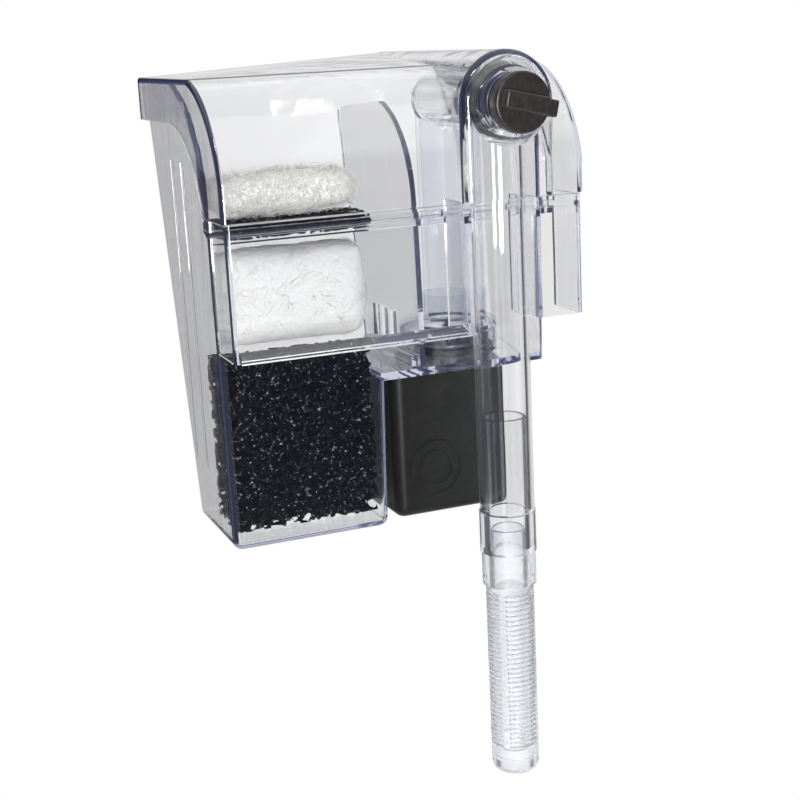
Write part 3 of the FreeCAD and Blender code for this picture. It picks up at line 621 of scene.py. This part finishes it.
def sky_ramp(tree, source, low, high, stops):
    """A grey or colour for each value of source between low and high."""
    remap = tree.nodes.new("ShaderNodeMapRange")
    remap.inputs["From Min"].default_value = low
    remap.inputs["From Max"].default_value = high
    tree.links.new(source, remap.inputs["Value"])
    node = tree.nodes.new("ShaderNodeValToRGB")
    set_stops(node, stops)
    tree.links.new(remap.outputs["Result"], node.inputs["Fac"])
    return node.outputs["Color"]


def sky_mix(tree, share, first, second, blend="MIX"):
    node = tree.nodes.new("ShaderNodeMix")
    node.data_type = "RGBA"
    node.blend_type = blend
    for value, name in ((share, "Factor"), (first, "A"), (second, "B")):
        if isinstance(value, (float, tuple)):
            node.inputs[name].default_value = value
        else:
            tree.links.new(value, node.inputs[name])
    return node.outputs["Result"]


WHITE = (1.0, 1.0, 1.0)
FILL = (0.42, 0.42, 0.42)
DIM = (0.03, 0.03, 0.045)
SOFT_BOX = (0.9, 0.92, 0.97)
SHADE = (0.58, 0.60, 0.68)
# shares of a turn round the object, from its tank side, where each thing in the room starts or ends
REFLECTED = [(0.0, DIM), (0.085, DIM), (0.10, SOFT_BOX), (0.125, SOFT_BOX), (0.14, DIM),
             (0.27, DIM), (0.29, (0.4, 0.41, 0.46)), (0.36, (0.5, 0.51, 0.56)), (0.40, DIM),
             (0.51, DIM), (0.53, grey(0.8)), (0.64, grey(0.8)), (0.70, DIM), (0.74, DIM),
             (0.83, DIM), (0.845, SOFT_BOX), (0.865, SOFT_BOX), (0.88, DIM), (1.0, DIM)]
SEEN_THROUGH = [(0.0, grey(0.95)), (0.10, WHITE), (0.16, SHADE), (0.20, SHADE), (0.26, grey(0.95)),
                (0.34, WHITE), (0.42, (0.80, 0.81, 0.86)), (0.47, grey(0.95)), (0.505, grey(0.85)),
                (0.523, WHITE), (0.537, grey(0.88)), (0.556, grey(0.97)), (0.572, grey(0.84)),
                (0.592, WHITE), (0.61, grey(0.92)), (0.64, WHITE), (0.68, WHITE),
                (0.72, SHADE), (0.78, SHADE), (0.82, WHITE), (1.0, grey(0.95))]


def make_world():
    """White studio: plain to the eye, softer on the filter, and two rooms for shiny plastic."""
    world = bpy.data.worlds.new("studio")
    bpy.context.scene.world = world
    world.use_nodes = True
    tree = world.node_tree
    background = tree.nodes["Background"]
    split = tree.nodes.new("ShaderNodeSeparateXYZ")
    looking = tree.nodes.new("ShaderNodeTexCoord").outputs["Generated"]
    tree.links.new(looking, split.inputs["Vector"])
    compass = tree.nodes.new("ShaderNodeMath")
    compass.operation = "ARCTAN2"
    tree.links.new(split.outputs["X"], compass.inputs[0])
    tree.links.new(split.outputs["Y"], compass.inputs[1])
    around = (tree, compass.outputs["Value"], -math.pi, math.pi)
    overhead = sky_ramp(tree, split.outputs["Z"], -1.0, 1.0,
                        [(0.0, grey(0.3)), (0.25, grey(0.12)), (0.45, grey(0.0)), (0.74, grey(0.0)),
                         (0.82, grey(1.0)), (1.0, grey(1.0))])
    mirrored = sky_mix(tree, 1.0, sky_ramp(*around, REFLECTED), overhead, "LIGHTEN")
    behind = sky_ramp(*around, SEEN_THROUGH)
    path = tree.nodes.new("ShaderNodeLightPath")
    soft = sky_mix(tree, path.outputs["Is Diffuse Ray"], (*WHITE, 1.0), (*FILL, 1.0))
    # light mirrored exactly once meets the dim room, any other shiny light the pale one
    once = tree.nodes.new("ShaderNodeMath")
    once.operation = "COMPARE"
    once.inputs[1].default_value = 1.0
    once.inputs[2].default_value = 0.5
    tree.links.new(path.outputs["Glossy Depth"], once.inputs[0])
    shiny = sky_mix(tree, once.outputs["Value"], behind, mirrored)
    colour = sky_mix(tree, path.outputs["Is Glossy Ray"], soft, shiny)
    tree.links.new(colour, background.inputs["Color"])
    background.inputs["Strength"].default_value = 1.0


def make_light(name, place, target, size, power):
    data = bpy.data.lights.new(name, "AREA")
    data.shape = "RECTANGLE"
    data.size, data.size_y = size
    data.energy = power
    lamp = bpy.data.objects.new(name, data)
    bpy.context.collection.objects.link(lamp)
    lamp.location = place
    aim = Vector(target) - Vector(place)
    lamp.rotation_mode = "QUATERNION"
    lamp.rotation_quaternion = aim.to_track_quat("-Z", "Y")
    lamp.visible_camera = False


def make_stage():
    make_camera()
    make_floor()
    make_world()
    make_light("key", (-0.2, -1.1, -0.02), (0, 0, -0.03), (0.3, 0.3), 12.5)
    make_light("top", (-0.5, -0.5, 0.8), (0, 0, 0.0), (0.2, 0.2), 2.5)
    bpy.context.scene.view_settings.view_transform = "Standard"


def main():
    dress(make_materials())
    make_media()
    make_stage()


main()
